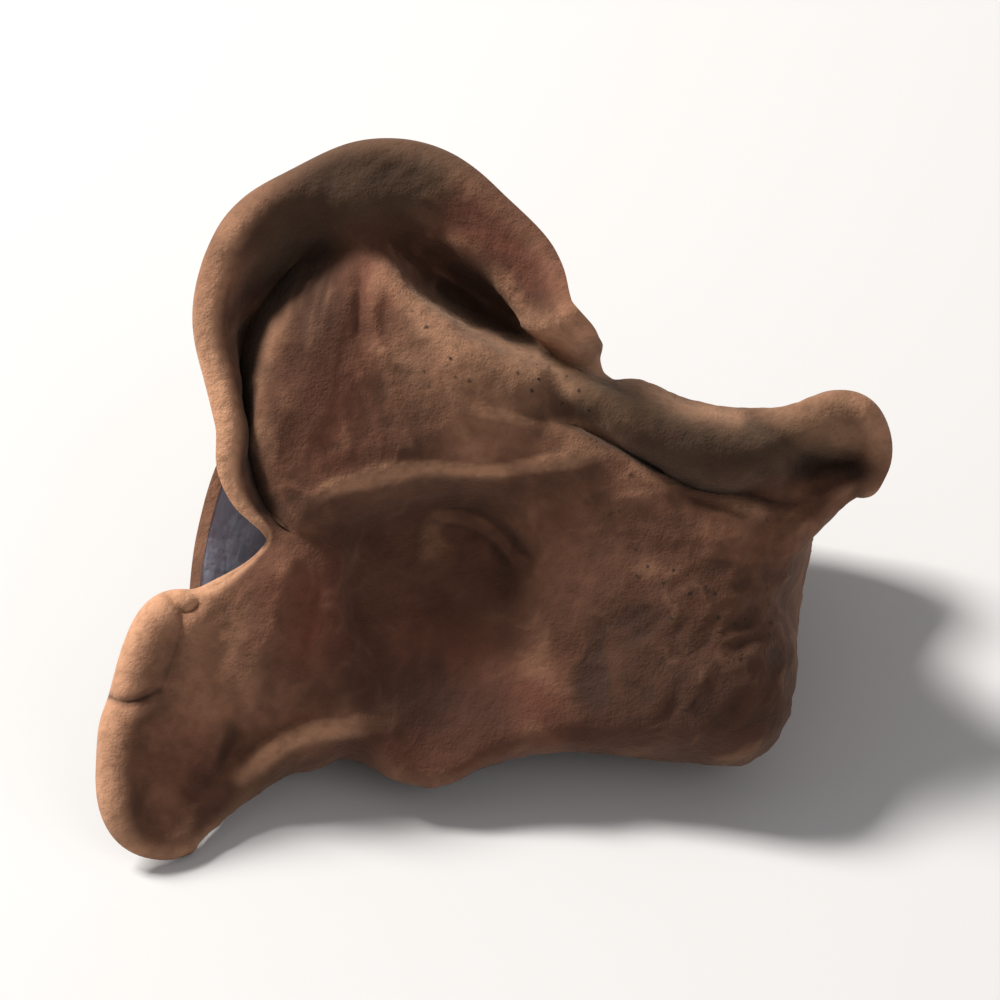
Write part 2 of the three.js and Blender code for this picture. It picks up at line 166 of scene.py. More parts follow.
RIBS = [
    ("right end", 50,
     seen(15, -9.2, 0), seen(23.5, -9.8, 0.6), hidden(29, 0, 15.6), hidden(30.5, 7.5, 16.8)),
    ("small lobe bottom", 50,
     seen(14.5, -5.5, 0), seen(22, -5.5, 0.8), seen(28.6, -4, -1.5), seen(33.6, -0.4, -3.2)),
    ("small lobe tip", 110,
     seen(15.5, -3, 0.6), seen(23.5, -2.4, 0.4), seen(29.8, 0, -2.6), seen(35.7, 3.2, -1.4)),
    ("small lobe top", 120,
     seen(16, -1.2, 1), seen(22.5, -0.2, -1.6), seen(28, 2.2, -0.4), seen(33.8, 7, -0.8)),
    ("small lobe shoulder", 120,
     seen(15.3, 0.4, 1.4), seen(20.6, 0.2, -2.2), seen(23.6, 3.4, 2.6), seen(26.6, 6.8, -1.6)),
    ("roll right", 120,
     seen(12.5, 3, 1.5), seen(16.8, 2.2, -2.4), seen(18.6, 5.6, 3), seen(20.9, 7.6, -1.8)),
    ("roll left", 110,
     seen(9, 4.8, 1.4), seen(12.5, 4.8, -1.6), seen(14.1, 7.6, 2.8), seen(15.9, 9.4, -2)),
    ("gutter mouth", 50,
     seen(5.5, 5.2, 0.9), seen(8.8, 7.8, 1), seen(10.8, 9.6, 1), seen(12.6, 10, -5)),
    ("hood tip", 60,
     seen(4, 5, 0.6), seen(6.5, 10.2, 2), seen(8, 12.6, -5), seen(10, 14.8, 2)),
    ("hood right", 70,
     seen(2.5, 5, 0.6), seen(3.5, 11.4, 2.2), seen(4.6, 14.6, -7.5), seen(7.2, 20, 1)),
    ("hood top right", 80,
     seen(0.5, 4.6, 0.6), seen(0.4, 12.8, 2.5), seen(1, 16.4, -8.5), seen(2.6, 24.2, 0.3)),
    ("hood top", 90,
     seen(-2, 4.2, 0.6), seen(-2.6, 14.6, 2), seen(-2.8, 18.6, -6.5), seen(-2.5, 27.8, 0)),
    ("crown", 100,
     seen(-4.5, 3.8, 0.5), seen(-6.2, 16.6, 1.2), seen(-7.4, 22, -2.2), seen(-8.5, 28.8, -0.5)),
    ("hood left", 110,
     seen(-6.5, 3, 0.4), seen(-9.7, 16.6, 1), seen(-12, 21.2, -3.8), seen(-13.8, 26.2, -0.5)),
    ("strip top", 130,
     seen(-8, 2, 0.3), seen(-13.6, 14.6, 1), seen(-16.2, 18, -5.5), seen(-18, 22.2, 0.4)),
    ("strip upper", 140,
     seen(-9, 1, 0.2), seen(-16, 11.5, 0.8), seen(-18.6, 14, -4.8), seen(-20.3, 16.6, 0.6)),
    ("strip middle", 140,
     seen(-9.8, 0, 0), seen(-16.4, 7, 0.5), seen(-19, 9, -4.4), seen(-20.4, 10.3, 0.4)),
    ("strip lower", 120,
     seen(-10.2, -1.3, -0.4), seen(-15.6, 2.5, 0.2), seen(-18.2, 3.5, -3.4), seen(-19.6, 4.3, 0.4)),
    ("strip end", 80,
     seen(-10.5, -2.8, -1), seen(-14.3, -1.3, -0.3), seen(-16.8, -0.9, -2.4), seen(-18.3, -0.3, 0)),
    ("notch", 30,
     seen(-10.3, -5, -1.8), seen(-12.6, -4.6, -1), seen(-14.3, -4.4, -0.6), seen(-15.8, -4.3, -0.5)),
    ("lobe top", 80,
     seen(-11, -7.8, -1.8), seen(-14.5, -8.8, -0.5), seen(-17.8, -9.2, 0), seen(-20.8, -9.2, 0.5)),
    ("finger", 130,
     seen(-11, -9.8, -1.5), seen(-15.3, -11.5, 0), seen(-20, -12.2, 0), seen(-24.8, -10.9, 1.5)),
    ("lobe side", 140,
     seen(-11, -11.7, -1.2), seen(-15.5, -14.3, 0), seen(-21.2, -16.2, -0.8), seen(-26.9, -16.4, 1.5)),
    ("lobe low", 130,
     seen(-10.5, -13.7, -1.2), seen(-15.3, -18, -1), seen(-21.5, -21.5, -2), seen(-27.9, -23.2, 1.8)),
    ("lobe tip", 80,
     seen(-10, -15.5, -1.3), seen(-14.8, -20.5, -2), seen(-20.6, -24.6, -2.3), seen(-27.2, -28.8, 1.2)),
    ("lobe foot", 40,
     seen(-9.2, -17.3, -1.8), seen(-13.8, -22.2, -2.8), seen(-18, -25.8, -3.6), seen(-21.8, -29.2, -1.9)),
    ("lobe heel", 40,
     seen(-8.6, -19.2, -2.1), hidden(-12.5, -10.7, 3), hidden(-16.6, -8, 1.8), hidden(-21, -8.5, 3.2)),
    ("left side", 30,
     seen(-8, -20.8, -2.4), hidden(-11.5, -7.5, 1.8), hidden(-16.4, -2, 1.8), hidden(-22.5, 0.5, 6)),
    ("rear left corner", 30,
     seen(-6.5, -22.6, -2.7), hidden(-9.3, -4, 0.4), hidden(-14.8, 5, 0.8), hidden(-22, 11, 11)),
    ("rear left lobe", 90,
     seen(-5, -23.9, -3), hidden(-7, -2, 0.2), hidden(-11.5, 9.5, -0.4), hidden(-17.5, 21.5, 14)),
    ("rear dip", 60,
     seen(-3, -24.6, -3.1), hidden(-4, -2, 0.1), hidden(-6, 11, -0.6), hidden(-8.5, 26, 10)),
    ("rear middle lobe", 120,
     seen(-0.5, -24.4, -3), hidden(0, -2, 0), hidden(1.5, 12, -0.4), hidden(3.5, 31.5, 17.5)),
    ("rear fold", 60,
     seen(2.5, -22.8, -2.6), hidden(4.5, -2, 0.1), hidden(9, 11, 0.2), hidden(13.5, 27.5, 9)),
    ("rear right lobe", 120,
     seen(6, -21.2, -2.2), hidden(10, -1.5, -0.1), hidden(15, 9.5, 0.4), hidden(21.5, 24, 8)),
    ("right corner", 60,
     seen(11.5, -20.8, -1.8), hidden(19, -3, -1), hidden(23.5, 8, 1.4), hidden(28, 22, 8)),
    ("right side", 80,
     seen(17, -18.5, -0.5), seen(26.3, -22, -4), hidden(28.3, 8.5, 3.4), hidden(32, 20, 14.5)),
    ("right fold", 50,
     seen(16.5, -13.3, -0.1), seen(27, -15, -1.8), hidden(29.8, 7.5, 7), hidden(31, 12.5, 12.8)),
]
BEAD_RADIUS = 1.7
THIN_BEADS = {"small lobe bottom": 1.2, "small lobe tip": 1.1, "small lobe top": 1.2,
              "hood left": 1.5, "strip top": 1.3, "strip upper": 1.1, "strip middle": 1.0,
              "strip lower": 1.0, "strip end": 1.0, "notch": 1.1, "lobe top": 1.3, "rear left corner": 1.2}
RIB_POINTS = np.array([points for _, _, *points in RIBS])
RIB_CURLS = np.radians([[curl] for _, curl, *_ in RIBS])
RIB_BEADS = np.array([[THIN_BEADS.get(name, BEAD_RADIUS)] for name, *_ in RIBS])
print("ribs:", len(RIBS), "with", RIB_POINTS.shape[1], "points each")

# %% [markdown]
# ## Folds
# Between the ribs lie the ridges, valleys and creases that appear when the flesh shrinks. Each is one line,
# drawn on the front as the camera sees it, or on the belly as seen in plan. It lifts or sinks the skin most
# on the line, and less and less to both sides. Wide folds belong to the shape of the part; narrow ones are
# the creases that catch the light on the real ear. A row of these lists gives a fold's name, how far it
# stands out, how wide it is, and the points of its line, in millimetres.

# %% Lay out the broad folds
FRONT_FOLDS = [
    ("arch", 0.5, 1.4, [(-14, -2.5), (-11.5, 0.3), (-7, 1.9), (-1, 2.5), (5, 2.6), (10, 4)]),
    ("under the arch", -1.3, 2.8, [(-9, -2.2), (-4, -1.4), (2, -1.6), (5, -4)]),
    ("brow", 2, 2.6, [(-17, 21.6), (-12.5, 24.6), (-5, 25.2), (1, 22.6), (6, 18.6), (9.6, 14.6)]),
    ("hollow of the small lobe", -3.6, 1.9, [(31, 2.8), (34.2, 3.2)]),
    ("inner ridge", 0.7, 2.4, [(5.8, -1), (8, -5), (7.4, -10)]),
    ("lobe ridge", 1.4, 2.2, [(-15, -7), (-16.5, -12), (-18.6, -17)]),
    ("valley beside the lobe", -1.2, 2.6, [(-18.5, -21), (-14, -17)]),
    ("base crease", -0.8, 1.8, [(12.7, -12.4), (11.6, -20)]),
    ("base knob", 1.2, 4, [(23, -17), (28, -18.5)]),
    ("base wrinkle", 0.2, 2.2, [(15, -14.5), (21, -16.5), (27, -20)]),
]
BELLY_FOLDS = [
    ("front hollow", 2, 3.6, [(12, -8), (3, -4), (-6, 0), (-15, -1)]),
    ("middle hollow", 2.2, 3.6, [(26, 5), (15, 4), (4, 4.5), (-5, 6)]),
    ("rear hollow", 2.2, 3.2, [(22, 15), (12, 17.5), (2, 19), (-9, 17)]),
]
print("broad folds:", len(FRONT_FOLDS), "on the front and", len(BELLY_FOLDS), "on the belly")

# %% Lay out the creases and the fine lines
ARCH_LINE = [(-13, -1), (-10.7, 0.8), (-6.4, 2), (-1.7, 2.6), (4, 2.4), (8.9, 3), (13.4, 3.6)]
FOOT_RIDGE = [(-18.9, -24.5), (-14.5, -21.1), (-8.7, -19.8), (-3, -20.2)]
FINGER_CRACK = [(-31, -16.6), (-28.6, -17.9), (-25.8, -16.8)]
CREASES = [
    ("edge of the strip", -1.6, 0.95, [(-12.6, 22.5), (-15, 19.3), (-17.4, 15), (-18.4, 11.4),
                                       (-18.8, 8.2), (-18.5, 5.1), (-17.7, 1.9), (-16.7, -1.3)]),
    ("gutter under the roll", -0.9, 0.8, [(11, 7.2), (16.4, 3.7), (21, 1.6), (25.2, 0), (28.4, -1)]),
    ("fold left of the dish", 0.5, 0.8, [(-12.5, -4), (-11.2, -9), (-12.4, -14), (-15.4, -18.4)]),
    ("valley at the foot", -0.8, 1.1, [(-19, -26.4), (-13.6, -22.9), (-8, -21.7)]),
    ("pleat of the upper face", 0.3, 0.8, [(-9, 19), (-9.8, 15), (-12.2, 9.5), (-13.2, 4)]),
    ("edge of the lobe's bead", -0.6, 0.9, [(-26.6, -18.6), (-27.4, -22.6), (-27.2, -27.4)]),
    ("valley of the lobe", -0.7, 0.9, [(-18.8, -16), (-19.8, -20.6), (-21.6, -26)]),
    ("dent of the lobe", -0.25, 1, [(-23.6, -18.6), (-24.6, -22)]),
    ("base crease", -0.5, 0.8, [(13.8, -7), (13, -12), (11.8, -15.4), (12.4, -19.6)]),
    ("edge of the small lobe", 0.7, 0.8, [(28, 6.6), (31, 7.2), (34.4, 6.8), (36.4, 5), (36.2, 2),
                                          (33, -0.6)]),
    ("mouth of the small lobe", -0.9, 0.9, [(25.6, 6), (28.4, 4.4), (31.4, 3)]),
]
FINE_LINES = [
    ("line of the arch", 0.6, 0.55, ARCH_LINE),
    ("crinkled rim of the dish", 0.55, 0.55, [(8.2, 6.1), (11.5, 6.3), (13.6, 5.1), (16, 2.2), (19.4, 0.6),
                                            (24.2, -1.1), (29, -1.8)]),
    ("inner line of the dish", 0.4, 0.5, [(-3, -1.2), (1, -1.8), (4.5, -4), (7.7, -8.5)]),
    ("thin ridge at the foot", 0.55, 0.6, FOOT_RIDGE),
    ("crease above the arch", -0.3, 0.8, [(-12.2, 3.6), (-9.6, 4.9), (-6.2, 5.6)]),
    ("second crease above the arch", -0.25, 0.8, [(-11.4, 6.4), (-8.8, 6.9), (-4.6, 6.4), (0.5, 7.4)]),
    ("second pleat of the upper face", 0.25, 0.6, [(-6.4, 20), (-7.2, 16), (-7, 12)]),
    ("third pleat of the upper face", -0.3, 0.6, [(-7.8, 20.4), (-8.4, 16.8), (-8.8, 13)]),
    ("thin wrinkle of the upper face", 0.45, 0.45, [(-8, 12.9), (-5, 12), (-2.5, 11.2)]),
    ("second thin wrinkle of the upper face", 0.45, 0.45, [(0.9, 7.6), (4.5, 7), (8.2, 5.6)]),
    ("finger", -0.5, 0.6, [(-23.7, -9.4), (-24.4, -13), (-25.8, -16.8)]),
    ("crack below the finger", -0.7, 0.4, FINGER_CRACK),
    ("nick of the finger", -0.9, 0.5, [(-25.2, -8.8), (-23.4, -10.2), (-21.8, -9)]),
    ("first base wrinkle", -0.4, 0.6, [(15.4, -17.4), (17.8, -14.6), (21.4, -13.2)]),
    ("second base wrinkle", -0.4, 0.6, [(17.6, -19.8), (20.4, -16.8), (24.6, -15.4)]),
]
print("narrow creases:", len(CREASES), "and fine lines:", len(FINE_LINES))

# %% [markdown]
# Some edges hang over what lies behind them, like the lip of the hood. Their skin is moved aside, across and
# up the picture, but only where it stands out toward the eye: what lies deeper stays, so a gap opens below
# the edge. A row gives the edge's name, its way across and up, its width and its line.

# %% Lay out the edges that hang over
OVERHANGS = [
    ("lip of the hood", (-1.0, -2.2), 2.0, [(-1.5, 22.4), (2.2, 20.4), (6, 17.4), (9.6, 14.4)]),
    ("edge of the strip", (1.2, 0), 1.4, [(-16, 18.5), (-18.4, 14.5), (-19.6, 10.5), (-19.9, 6.5),
                                          (-19.2, 2.5)]),
    ("lower edge of the roll", (-0.4, -1.2), 1.4, [(12.6, 7.4), (16.8, 5.4), (21, 3.2), (25.4, 1.6)]),
]
OVERHANG_STARTS = -3.5
OVERHANG_FULL = -0.5
print("edges that hang over:", [name for name, *_ in OVERHANGS])

# %% Helpers for lines on the skin
STRETCH_STEPS = 6
FADE_STARTS = -0.3


def in_view(points):
    """How far each point lies across and up the picture and toward the eye, in millimetres."""
    from_middle = points - PICTURE_MIDDLE
    return points @ ACROSS, from_middle @ UP, from_middle @ TOWARD


def blend_weights(f):
    """How much each of four neighbours in a row counts at f of the way from the second to the third."""
    return [
        -0.5 * f + f**2 - 0.5 * f**3,
        1 - 2.5 * f**2 + 1.5 * f**3,
        0.5 * f + 2 * f**2 - 1.5 * f**3,
        -0.5 * f**2 + 0.5 * f**3,
    ]


def smooth_line(line):
    """The drawn points of a fold, joined by a smooth curve."""
    line = np.array(line, float)
    knots = np.concatenate([[2 * line[0] - line[1]], line, [2 * line[-1] - line[-2]]])
    path = [
        sum(weight * knots[i + k] for k, weight in enumerate(blend_weights(step / STRETCH_STEPS)))
        for i in range(len(line) - 1)
        for step in range(STRETCH_STEPS)
    ]
    return np.array([*path, line[-1]])


def smooth_step(value, low, high):
    """0 up to low and 1 from high, with a smooth rise between them."""
    share = np.clip((value - low) / (high - low), 0, 1)
    return share * share * (3 - 2 * share)


def nearest_on_path(x, y, path):
    """How far each place is from a path, and how far along the path that is, from 0 to 1."""
    nearest = np.full(len(x), np.inf)
    share = np.zeros(len(x))
    for i, ((x0, y0), (x1, y1)) in enumerate(zip(path[:-1], path[1:])):
        dx, dy = x1 - x0, y1 - y0
        along = np.clip(((x - x0) * dx + (y - y0) * dy) / (dx * dx + dy * dy), 0, 1)
        distance = np.hypot(x - x0 - along * dx, y - y0 - along * dy)
        share = np.where(distance < nearest, (i + along) / (len(path) - 1), share)
        nearest = np.minimum(nearest, distance)
    return nearest, share


def nearness(x, y, line, width, fading_end=0.0):
    """1 on the line and less to both sides; it may fade over a share of the length at both ends."""
    distance, share = nearest_on_path(x, y, smooth_line(line))
    near = np.exp(-((distance / width) ** 2))
    if fading_end:
        near = near * smooth_step(np.minimum(share, 1 - share), FADE_STARTS * fading_end, fading_end)
    return near


print("a stretch of a line has", STRETCH_STEPS, "steps")

# %% Fold the skin
CREASE_FADE = 0.25
FRONT_STARTS = -11
FRONT_FULL = -7
UNDER_FADE = 8
UPRIGHT = np.array([0.0, 0.0, 1.0])


def total_rise(folds, x, y, fading_end=0.0):
    """All the folds of a list added up."""
    rise = np.zeros(len(x))
    for _, height, width, line in folds:
        rise += height * nearness(x, y, line, width, fading_end)
    return rise


def front_share(points):
    """1 on the front of the ear, which the photograph shows, and 0 behind and below it."""
    _, _, toward = in_view(points)
    return smooth_step(toward, FRONT_STARTS, FRONT_FULL)


def hang_over(points):
    """Moves the edges that stand out toward the eye aside, so that they hang over what lies behind."""
    across, up, toward = in_view(points)
    standing = smooth_step(toward, OVERHANG_STARTS, OVERHANG_FULL)
    moved = points.copy()
    for _, (aside, upward), width, line in OVERHANGS:
        near = standing * nearness(across, up, line, width, CREASE_FADE)
        moved += near[:, None] * (aside * ACROSS + upward * UP)
    return moved


def fold(points):
    """Folds the front toward the eye and the belly upward, and then lets the edges hang over."""
    front = front_share(points)
    across, up, _ = in_view(points)
    rise = front * (total_rise(FRONT_FOLDS, across, up) + total_rise(CREASES, across, up, CREASE_FADE))
    fade = (1 - front) * np.exp(-np.maximum(points[:, 2], 0) / UNDER_FADE)
    lift = fade * total_rise(BELLY_FOLDS, points[:, 0], points[:, 1])
    return hang_over(points + rise[:, None] * TOWARD + lift[:, None] * UPRIGHT)


def draw_fine_lines(points):
    across, up, _ = in_view(points)
    rise = front_share(points) * total_rise(FINE_LINES, across, up, CREASE_FADE)
    return points + rise[:, None] * TOWARD


print("the front fades out", -FRONT_FULL, "to", -FRONT_STARTS, "mm behind the picture's middle")

# %% [markdown]
# ## The skin
# A place on the skin is given by its reach, from 0 in the middle of the dish to 1 at the margin, and by its
# turn round the ear, from 0 to 1. Two smooth blends find it: one round the ribs and one along them. The last
# share of the reach is wound back round a small circle, which makes the rounded bead that a dried ear shows.

# %% Work out the skin from the ribs
RINGS = 5
ROLL_SHARE = 0.16
DISH_MIDDLE = seen(-1, -8, -6)
DISH_HALF_WIDTH = 7.5
DISH_HALF_HEIGHT = 7
DISH_RISE = 1.2
RIB_TWIST = math.radians(22)
TURN_STEP = 0.001
JUST_INSIDE = 0.98


def blend_round(values, turn):
    """A value of every rib, blended smoothly between the ribs at a turn round the ear."""
    place = (turn % 1) * len(values)
    first = np.floor(place).astype(int)
    total = 0
    for step, weight in enumerate(blend_weights(place - first)):
        total = total + weight[:, None] * values[(first + step - 1) % len(values)]
    return total


def ring_point(ring, turn):
    """A place on one of the rings round the dish; those outside the list continue the ribs at both ends."""
    if ring == 0:
        return np.tile(DISH_MIDDLE, (len(turn), 1))
    if ring < 0:
        return ring_point(-ring, turn + 0.5)
    if ring > RINGS:
        return 2 * ring_point(RINGS, turn) - ring_point(RINGS - 1, turn)
    if ring == 1:
        angle = (turn * 2 * math.pi - RIB_TWIST)[:, None]
        flat = DISH_HALF_WIDTH * np.cos(angle) * ACROSS + DISH_HALF_HEIGHT * np.sin(angle) * UP
        return DISH_MIDDLE + flat + DISH_RISE * TOWARD
    return blend_round(RIB_POINTS[:, ring - 2], turn)


def flat_skin(reach, turn):
    """The folded skin before its margin is rolled."""
    place = reach * RINGS
    first = np.minimum(np.floor(place).astype(int), RINGS - 1)
    rings = np.stack([ring_point(ring, turn) for ring in range(-1, RINGS + 2)])
    total = 0
    for step, weight in enumerate(blend_weights(place - first)):
        total = total + weight[:, None] * rings[first + step, np.arange(len(turn))]
    return fold(total)


def unit(vectors):
    return vectors / np.linalg.norm(vectors, axis=-1, keepdims=True)


def rolled_margin(roll, turn):
    """The bead: from the edge of the flat skin, a share of a circle that winds back behind it."""
    whole = np.ones(len(turn))
    edge = flat_skin(whole, turn)
    along = unit(flat_skin(whole, turn + TURN_STEP) - flat_skin(whole, turn - TURN_STEP))
    outward = unit(edge - flat_skin(JUST_INSIDE * whole, turn))
    normal = unit(np.cross(outward, along))
    straight_out = unit(np.cross(along, normal))
    angle = roll[:, None] * blend_round(RIB_CURLS, turn)
    radius = blend_round(RIB_BEADS, turn)
    return edge + radius * (np.sin(angle) * straight_out - (1 - np.cos(angle)) * normal)


def skin(reach, turn):
    flat_share = 1 - ROLL_SHARE
    flat = flat_skin(np.minimum(reach / flat_share, 1), turn)
    roll = rolled_margin(np.maximum(reach - flat_share, 0) / ROLL_SHARE, turn)
    return np.where(reach[:, None] <= flat_share, flat, roll)


print("middle of the dish in mm:", DISH_MIDDLE.round(1))

# %% [markdown]
# ## From a flat grid to the ear
# The sheet starts as a plain grid. Squares round its middle become rings round the dish, so no face shrinks
# to a point as it would on a disc with a pole. Every point is then pulled a little toward its neighbours,
# as drying flesh pulls itself taut, which takes the last corners out of the curves. The finest lines are
# drawn after that, and softened only a little, so that they stay sharp.

# %% Add the flat grid
CELLS = 214

bpy.ops.object.select_all(action="DESELECT")
bpy.ops.mesh.primitive_grid_add(x_subdivisions=CELLS, y_subdivisions=CELLS, size=2)
ear = bpy.context.object
ear.name = "wood_ear_flesh"
flat_grid = np.array([v.co for v in ear.data.vertices])
column_place, row_place = flat_grid[:, 0], flat_grid[:, 1]
reach = np.maximum(abs(column_place), abs(row_place))
side = CELLS + 1
print("places along one side of the grid:", side)

# %% Bend the grid into the sheet
EVEN_SHARE = 0.6
STOPS_PER_RIB = 20
TAUT_PASSES = 8
SOFTENING_PASSES = 2


def turn_of(a, b):
    """The share of a full turn at which a grid place lies: each side of a square has a quarter of it."""
    sideways = np.abs(a) >= np.abs(b)
    by_column = np.divide(b, a, out=np.zeros_like(a), where=sideways & (a != 0)) / 8
    by_row = 0.25 - np.divide(a, b, out=np.zeros_like(a), where=~sideways) / 8
    return np.where(sideways, by_column + 0.5 * (a < 0), by_row + 0.5 * (b < 0)) % 1


def pull_taut(points, passes):
    """Moves every point half way to the middle of its neighbours; the margin only moves along itself."""
    grid = points.reshape(side, side, 3)
    for _ in range(passes):
        mean = grid.copy()
        mean[1:-1, 1:-1] = (grid[2:, 1:-1] + grid[:-2, 1:-1] + grid[1:-1, 2:] + grid[1:-1, :-2]) / 4
        for edge in (0, -1):
            mean[edge, 1:-1] = (grid[edge, 2:] + grid[edge, :-2]) / 2
            mean[1:-1, edge] = (grid[2:, edge] + grid[:-2, edge]) / 2
        grid = (grid + mean) / 2
    return grid.reshape(-1, 3)


def even_turn(turn):
    """Shares the places round the ear out by the length of the margin as well as by the number of ribs."""
    stops = np.linspace(0, 1, STOPS_PER_RIB * len(RIBS) + 1)
    ring = ring_point(RINGS - 1, stops)
    steps = np.linalg.norm(np.diff(ring, axis=0), axis=1)
    by_length = np.concatenate([[0], np.cumsum(steps)]) / steps.sum()
    return np.interp(turn, (1 - EVEN_SHARE) * stops + EVEN_SHARE * by_length, stops)


turn = even_turn(turn_of(column_place, row_place))
sheet = pull_taut(skin(reach, turn), TAUT_PASSES)
sheet = pull_taut(draw_fine_lines(sheet), SOFTENING_PASSES)
print("sheet in mm:", np.ptp(sheet, axis=0).round(1))

# %% [markdown]
# ## Thickness
# Dried flesh is about a millimetre and a half thick, thinner at the margin, and thickest where the ear was
# attached to the wood. Solidify gives the sheet its two sides, with a vertex group for the thickness, and
# Bevel rounds the edge that is left along the margin. Where the ear rests it is pressed flat on the ground.

# %% Give the sheet its thickness
MIDDLE_THICKNESS = 1.5
MARGIN_THICKNESS = 1.05
BASE_THICKNESS = 2.4
BASE_MIDDLE = seen(25, -16, -2)
BASE_REACH = 8


def thickness_of(points, reach):
    """Thinner toward the margin, and thicker round the middle of the base."""
    plain = MIDDLE_THICKNESS + (MARGIN_THICKNESS - MIDDLE_THICKNESS) * reach
    base = np.exp(-((np.linalg.norm(points - BASE_MIDDLE, axis=1) / BASE_REACH) ** 2))
    return plain + (BASE_THICKNESS - plain) * base


thickness = thickness_of(sheet, reach)
ear.data.vertices.foreach_set("co", (sheet * MM).ravel())
ear.data.update()
group = ear.vertex_groups.new(name="thickness")
for index, value in enumerate(thickness / BASE_THICKNESS):
    group.add([index], float(value), "REPLACE")
solidify = ear.modifiers.new("thickness", "SOLIDIFY")
solidify.thickness = BASE_THICKNESS * MM
solidify.offset = 0
solidify.vertex_group = "thickness"
bpy.ops.object.modifier_apply(modifier="thickness")
print("faces after solidify:", len(ear.data.polygons))

# %% Round the edge of the margin
MARGIN_REACH = 0.9999
EDGE_ROUNDING = 0.32
EDGE_STEPS = 3

on_margin = np.tile(reach > MARGIN_REACH, 2)
on_first_side = np.arange(len(ear.data.vertices)) < len(sheet)
edge_ends = np.zeros(len(ear.data.edges) * 2, np.int32)
ear.data.edges.foreach_get("vertices", edge_ends)
first, second = edge_ends.reshape(-1, 2).T
on_rim = on_margin[first] & on_margin[second] & (on_first_side[first] == on_first_side[second])
weights = ear.data.attributes.new("bevel_weight_edge", "FLOAT", "EDGE")
weights.data.foreach_set("value", on_rim.astype(np.float32))
bevel = ear.modifiers.new("rounded edge", "BEVEL")
bevel.limit_method = "WEIGHT"
bevel.width = EDGE_ROUNDING * MM
bevel.segments = EDGE_STEPS
bevel.use_clamp_overlap = True
bpy.ops.object.modifier_apply(modifier="rounded edge")
print("triangles:", sum(len(face.vertices) - 2 for face in ear.data.polygons))

# %% [markdown]
# ## What the finish needs to know
# The finish changes from place to place: the roll is olive and the dish is reddish. The margin is pale, partly
# its own colour and partly painted highlight, and painted shade darkens the hollows while painted highlight
# pales the ridges. The mesh carries these as attributes, so that the colours stay on the flesh wherever it
# bends. The places are laid out first, each with its name, its strength, its width and its line across and up
# the picture.

# %% Lay out the colour of the fuzzy side
OLIVE_PLACES = [
    ("roll", 1.0, 3.2, [(7, 14), (12, 10.5), (17, 7.5), (22, 4.5), (27, 5), (33, 6)]),
    ("behind the hood", 1.0, 3.4, [(-14.5, 21), (-11, 26.5), (-3, 27.5)]),
    ("upper face", 0.35, 4.0, [(-3, 15), (4, 11), (10, 7)]),
]
BLUSH_PLACES = [
    ("left of the dish", 1.0, 3.0, [(-13, -8), (-13, -12)]),
    ("hood", 0.8, 2.6, [(1, 24), (6, 20), (9.5, 15.5)]),
    ("neck of the face", 0.6, 3.0, [(-11, 4), (-9, 12), (-7, 18)]),
    ("foot of the dish", 0.5, 3.0, [(-7, -22), (0, -21), (6, -19)]),
    ("lobe", 0.4, 2.4, [(-22, -16), (-24, -24)]),
    ("middle of the dish", 0.5, 4.0, [(-3, -14), (5, -17)]),
]
# Painted highlight on the bead where the window light falls on it; the colour marks it as pale.
BEAD_HIGHLIGHT_SPOTS = [
    ("strip", 1.0, 4.5, [(-15.5, 21), (-18.5, 15), (-20, 8), (-19, 0)]),
    ("lip of the hood", 0.3, 2.0, [(9, 15), (11, 12.4)]),
    ("lobe", 0.85, 5.0, [(-22, -7), (-29, -12), (-32.5, -20), (-33, -28)]),
    ("small lobe", 0.35, 3.0, [(30, 7.5), (36, 5)]),
]
# Partly the ear's own darker brown, partly painted shade in the dish, under the base, on the roll and by the
# hood.
DEEP_PLACES = [
    ("dish", 0.75, 9.0, [(-5, -7), (-1, -12), (-1, -19)]),
    ("base", 1.0, 8.0, [(17, -12), (26, -16)]),
    ("underside of the base", 0.6, 4.0, [(12, -20), (22, -21)]),
    ("roll", 1.0, 3.0, [(13, 8), (18, 6), (25, 2.6)]),
    ("top of the hood", 1.0, 3.8, [(-14.5, 22.5), (-10.7, 27.5), (-2, 28.5), (4, 24)]),
    ("below the hood", 0.9, 3.4, [(-11.5, 18.5), (-10, 15), (-12, 10)]),
]
SPECK_PLACES = [
    ("upper face and roll", 1.0, 3.0, [(-3, 13), (4, 11), (11, 8)]),
    ("base", 0.8, 5.0, [(16, -4), (24, -12)]),
    ("rim of the dish", 0.8, 1.6, [(14, 4), (20.9, 0.5), (29, -2.6)]),
]
print("olive, reddish and pale places:", len(OLIVE_PLACES), len(BLUSH_PLACES), len(BEAD_HIGHLIGHT_SPOTS))

